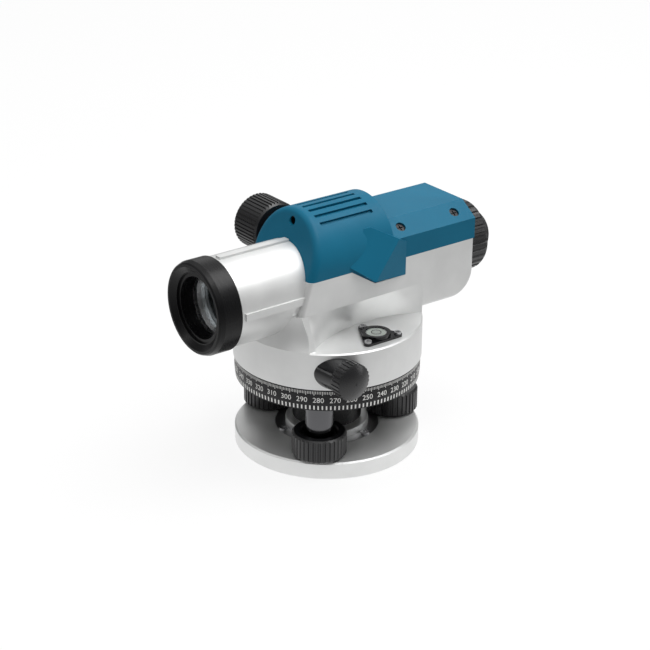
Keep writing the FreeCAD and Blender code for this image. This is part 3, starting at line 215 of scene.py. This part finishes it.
# ---- cover ----
# A two-step blue plastic moulding over the telescope, with finger grooves on its barrel,
# a peep sight through it and a hood over the bubble's mirror. Four screws hold it.
blue_plastic, nodes, links, shader = surface("blue_moulded_plastic", (0.004, 0.118, 0.205), 0.40)
shader.inputs["Specular IOR Level"].default_value = 0.15
cloud = noise(nodes, links, 45.0, 2.0)
tone = ramp(nodes, links, cloud.outputs["Fac"], (0.0035, 0.112, 0.196), (0.0045, 0.124, 0.214))
links.new(tone.outputs["Color"], shader.inputs["Base Color"])
grain = noise(nodes, links, 2600.0, 2.0)
gloss = ramp(nodes, links, grain.outputs["Fac"], 0.38, 0.50)
links.new(gloss.outputs["Color"], shader.inputs["Roughness"])
relief(nodes, links, shader, grain.outputs["Fac"], 0.00005, 0.5)
finish(blue_plastic, "cover")

# ---- knobs and grips ----
# Black moulded plastic knobs, ribbed for wet fingers: three on the foot screws, two on
# the fine drive, one for focusing, and the ribbed cover and ring at the eyepiece.
black_plastic, nodes, links, shader = surface("black_satin_plastic", (0.006, 0.006, 0.007), 0.28)
shader.inputs["Specular IOR Level"].default_value = 0.60
grain = noise(nodes, links, 3000.0, 2.0)
gloss = ramp(nodes, links, grain.outputs["Fac"], 0.26, 0.36)
links.new(gloss.outputs["Color"], shader.inputs["Roughness"])
relief(nodes, links, shader, grain.outputs["Fac"], 0.00004, 0.4)
finish(black_plastic, "foot_knob_a", "foot_knob_b", "foot_knob_c", "drive_knobs", "focus_knob",
       "eyepiece_cover", "diopter_ring")

glossy_plastic, nodes, links, shader = surface("black_gloss_plastic", (0.004, 0.004, 0.005), 0.16)
cloud = noise(nodes, links, 220.0, 2.0)
gloss = ramp(nodes, links, cloud.outputs["Fac"], 0.12, 0.20)
links.new(gloss.outputs["Color"], shader.inputs["Roughness"])
relief(nodes, links, shader, cloud.outputs["Fac"], 0.00003, 0.3)
finish(glossy_plastic, "drive_bosses", "level_holder")

# ---- black metal ----
# Turned light alloy, black anodised: the objective's ring, the levelling head under the
# circle, and the frames and tubes inside the telescope.
black_metal, nodes, links, shader = surface("black_anodised_alloy", (0.003, 0.003, 0.0035), 0.26)
shader.inputs["Specular IOR Level"].default_value = 0.22
turning = noise(nodes, links, 260.0, 2.0, (1, 14, 1))
gloss = ramp(nodes, links, turning.outputs["Fac"], 0.24, 0.36)
links.new(gloss.outputs["Color"], shader.inputs["Roughness"])
relief(nodes, links, shader, turning.outputs["Fac"], 0.00002, 0.3)
finish(black_metal, "objective_ring", "levelling_head", "comp_frame", "focus_guide", "focus_bush",
       "eyepiece_tube", "reticle_ring", "sight_tube")

# ---- horizontal circle ----
# A black anodised ring that turns by hand under the drum. Its degrees are engraved and
# filled with white, fine marks above, numbers every ten degrees; broad white bars below.
scale_metal, nodes, links, shader = surface("circle_black", (0.005, 0.005, 0.006), 0.33)
shader.inputs["Specular IOR Level"].default_value = 0.30
cloud = noise(nodes, links, 380.0, 2.0)
gloss = ramp(nodes, links, cloud.outputs["Fac"], 0.28, 0.40)
links.new(gloss.outputs["Color"], shader.inputs["Roughness"])
relief(nodes, links, shader, cloud.outputs["Fac"], 0.00002, 0.3)
finish(scale_metal, "horizontal_circle")

circle_low, circle_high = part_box("horizontal_circle")
rim_radius = circle_high[0]
rim_low, rim_top = circle_low[2], circle_high[2]
rim_taper = 0.5 * mm                         # the rim narrows by this much towards its foot
rim_bend = rim_low + 0.4 * (rim_top - rim_low)
mark_height = 0.05 * mm

white_fill, nodes, links, shader = surface("white_scale_paint", (0.80, 0.80, 0.78), 0.55)
cloud = noise(nodes, links, 900.0, 2.0)
tone = ramp(nodes, links, cloud.outputs["Fac"], (0.70, 0.70, 0.68), (0.86, 0.86, 0.84))
links.new(tone.outputs["Color"], shader.inputs["Base Color"])
relief(nodes, links, shader, cloud.outputs["Fac"], 0.00002, 0.3)


def radius_at(height):
    below = max(0.0, rim_bend - height) / (rim_bend - rim_low)
    return rim_radius - rim_taper * below


def apply_place(piece):
    bpy.ops.object.select_all(action="DESELECT")
    piece.select_set(True)
    bpy.context.view_layer.objects.active = piece
    bpy.ops.object.transform_apply(location=True, rotation=True, scale=True)


def ring_of_marks(name, step, low, high, width):
    """One upright mark, repeated round the rim by an array about the axis."""
    middle = (low + high) / 2
    bpy.ops.object.select_all(action="DESELECT")
    bpy.ops.mesh.primitive_cube_add(size=1, location=(radius_at(middle), 0, middle))
    marks = bpy.context.object
    marks.name = name
    marks.scale = (2 * mark_height, width, high - low)
    lean = math.atan2(rim_taper, rim_bend - rim_low) if high < rim_bend else 0.0
    marks.rotation_euler = (0, lean, 0)
    apply_place(marks)
    bpy.ops.object.empty_add(location=(0, 0, 0), rotation=(0, 0, math.radians(step)))
    turn = bpy.context.object
    array = marks.modifiers.new("round_the_rim", "ARRAY")
    array.use_relative_offset = False
    array.use_object_offset = True
    array.offset_object = turn
    array.count = round(360 / step)
    bpy.context.view_layer.objects.active = marks
    bpy.context.view_layer.update()
    bpy.ops.object.modifier_apply(modifier=array.name)
    bpy.data.objects.remove(turn)
    marks.data.materials.append(white_fill)
    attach(marks, "circle")


band = rim_top - rim_low
ring_of_marks("degree_marks", 1.0, rim_low + 0.82 * band, rim_low + 0.95 * band, 0.30 * mm)
ring_of_marks("five_degree_marks", 5.0, rim_low + 0.76 * band, rim_low + 0.82 * band, 0.34 * mm)
# Broad white bars round the foot of the rim.
ring_of_marks("broad_marks", 2.5, rim_low + 0.05 * band, rim_low + 0.25 * band, 0.80 * mm)

number_height = 3.1 * mm
letter_size = 1.38 * number_height           # the size setting that gives figures of that height
number_place = rim_low + 0.51 * band
number_start = math.radians(237.6)           # bearing of the circle's zero
for degrees in range(0, 360, 10):
    bpy.ops.object.select_all(action="DESELECT")
    bpy.ops.object.text_add(location=(0, 0, 0))
    number = bpy.context.object
    number.name = "number_%03d" % degrees
    number.data.body = str(degrees)
    number.data.size = letter_size
    number.data.align_x = "CENTER"
    number.data.align_y = "CENTER"
    number.data.extrude = mark_height
    number.data.resolution_u = 3
    bpy.ops.object.convert(target="MESH")
    number = bpy.context.object
    bearing = number_start - math.radians(degrees)
    for vertex in number.data.vertices:
        height = number_place + vertex.co.y
        angle = bearing + vertex.co.x / rim_radius
        reach = radius_at(height) + vertex.co.z
        vertex.co = (reach * math.cos(angle), reach * math.sin(angle), height)
    number.data.materials.append(white_fill)
    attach(number, "circle")

# ---- screws, shafts and springs ----
# Turned or pressed steel, left bright inside the instrument and blackened on the cover.
bright_steel, nodes, links, shader = surface("machined_steel", (0.55, 0.55, 0.56), 0.28, 1.0)
brushing = noise(nodes, links, 700.0, 2.0, (1, 1, 12))
gloss = ramp(nodes, links, brushing.outputs["Fac"], 0.20, 0.38)
links.new(gloss.outputs["Color"], shader.inputs["Roughness"])
relief(nodes, links, shader, brushing.outputs["Fac"], 0.00002, 0.3)
finish(bright_steel, "foot_screw_a", "foot_screw_b", "foot_screw_c", "axis_spindle", "axis_retainer",
       "axis_screws", "drive_shaft", "worm", "clamp_screws", "clutch_ring", "clutch_spring",
       "focus_shaft", "suspension_wires", "reticle_screws", "level_screws", "bottom_plate")

black_chrome, nodes, links, shader = surface("black_chrome", (0.11, 0.11, 0.115), 0.14, 1.0)
cloud = noise(nodes, links, 300.0, 2.0, (1, 1, 0.2))
gloss = ramp(nodes, links, cloud.outputs["Fac"], 0.09, 0.16)
links.new(gloss.outputs["Color"], shader.inputs["Roughness"])
finish(black_chrome, "foot_sleeves")

sheet_steel, nodes, links, shader = surface("rolled_spring_steel", (0.50, 0.50, 0.51), 0.34, 1.0)
cloud = noise(nodes, links, 120.0, 2.0)
gloss = ramp(nodes, links, cloud.outputs["Fac"], 0.30, 0.40)
links.new(gloss.outputs["Color"], shader.inputs["Roughness"])
relief(nodes, links, shader, cloud.outputs["Fac"], 0.00002, 0.2)
finish(sheet_steel, "spring_plate")

black_steel, nodes, links, shader = surface("blackened_steel", (0.02, 0.02, 0.022), 0.35, 0.6)
cloud = noise(nodes, links, 900.0, 2.0)
gloss = ramp(nodes, links, cloud.outputs["Fac"], 0.28, 0.45)
links.new(gloss.outputs["Color"], shader.inputs["Roughness"])
relief(nodes, links, shader, cloud.outputs["Fac"], 0.00002, 0.3)
finish(black_steel, "cover_screws")

# ---- brass, alloy and nylon inside ----
# The worm wheel, bushes and focusing slide are brass; the lens cells are bright alloy;
# the centring ring and the clutch's washer are nylon.
machined_brass, nodes, links, shader = surface("machined_brass", (0.60, 0.43, 0.18), 0.27, 1.0)
turning = noise(nodes, links, 600.0, 2.0, (1, 1, 9))
gloss = ramp(nodes, links, turning.outputs["Fac"], 0.20, 0.36)
links.new(gloss.outputs["Color"], shader.inputs["Roughness"])
relief(nodes, links, shader, turning.outputs["Fac"], 0.00002, 0.3)
finish(machined_brass, "worm_wheel", "axis_bush", "focus_pinion", "focus_slide")

bright_alloy, nodes, links, shader = surface("machined_alloy", (0.70, 0.71, 0.72), 0.30, 1.0)
turning = noise(nodes, links, 600.0, 2.0, (1, 9, 1))
gloss = ramp(nodes, links, turning.outputs["Fac"], 0.22, 0.40)
links.new(gloss.outputs["Color"], shader.inputs["Roughness"])
relief(nodes, links, shader, turning.outputs["Fac"], 0.00002, 0.3)
finish(bright_alloy, "objective_cell", "lens_retainer", "eye_cell", "pendulum_arm")

nylon, nodes, links, shader = surface("natural_nylon", (0.74, 0.72, 0.66), 0.45)
cloud = noise(nodes, links, 500.0, 2.0)
gloss = ramp(nodes, links, cloud.outputs["Fac"], 0.40, 0.55)
links.new(gloss.outputs["Color"], shader.inputs["Roughness"])
relief(nodes, links, shader, cloud.outputs["Fac"], 0.00002, 0.3)
finish(nylon, "centring_ring", "friction_washer")

# ---- eyecup ----
# A soft black rubber cup pushed over the diopter ring.
rubber, nodes, links, shader = surface("soft_black_rubber", (0.014, 0.014, 0.014), 0.62)
grain = noise(nodes, links, 1500.0, 3.0)
gloss = ramp(nodes, links, grain.outputs["Fac"], 0.56, 0.72)
links.new(gloss.outputs["Color"], shader.inputs["Roughness"])
relief(nodes, links, shader, grain.outputs["Fac"], 0.00006, 0.5)
finish(rubber, "eyecup")

# ---- glass ----
# Ground and polished lenses and prisms with a faint coating, and the bubble's vial.
lens_glass, nodes, links, shader = surface("coated_glass", (0.86, 0.90, 0.92), 0.02)
shader.inputs["Transmission Weight"].default_value = 1.0
shader.inputs["IOR"].default_value = 1.52
shader.inputs["Coat Weight"].default_value = 1.0
shader.inputs["Coat IOR"].default_value = 2.2
shader.inputs["Coat Roughness"].default_value = 0.02
cloud = noise(nodes, links, 90.0, 2.0)
gloss = ramp(nodes, links, cloud.outputs["Fac"], 0.01, 0.04)
links.new(gloss.outputs["Color"], shader.inputs["Roughness"])
finish(lens_glass, "objective_lenses", "focus_lens", "fixed_prisms", "swinging_prism", "reticle_glass",
       "eyepiece_lenses", "level_vial")

spirit, nodes, links, shader = surface("pale_green_spirit", (0.74, 0.78, 0.66), 0.05)
cloud = noise(nodes, links, 300.0, 1.0)
tone = ramp(nodes, links, cloud.outputs["Fac"], (0.70, 0.75, 0.62), (0.78, 0.81, 0.70))
links.new(tone.outputs["Color"], shader.inputs["Base Color"])
finish(spirit, "vial_liquid")

ring_mark_radius = 2.7 * mm
ring_mark_line = 0.22 * mm                   # half of the painted line's width
vial_low, vial_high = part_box("level_vial")
vial_middle = [(low + high) / 2 for low, high in zip(vial_low, vial_high)]
bpy.ops.object.select_all(action="DESELECT")
bpy.ops.mesh.primitive_torus_add(location=(vial_middle[0], vial_middle[1], vial_high[2]),
                                 major_radius=ring_mark_radius, minor_radius=ring_mark_line,
                                 major_segments=64, minor_segments=10)
ring_mark = bpy.context.object
ring_mark.name = "vial_ring_mark"
ring_mark.scale = (1, 1, 0.3)                # a flat line of paint on the glass
apply_place(ring_mark)
ring_mark.data.materials.append(glossy_plastic)
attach(ring_mark, "telescope")

silvered, nodes, links, shader = surface("silvered_glass", (0.85, 0.87, 0.88), 0.04, 1.0)
cloud = noise(nodes, links, 200.0, 1.0)
gloss = ramp(nodes, links, cloud.outputs["Fac"], 0.02, 0.07)
links.new(gloss.outputs["Color"], shader.inputs["Roughness"])
finish(silvered, "bubble_mirror")
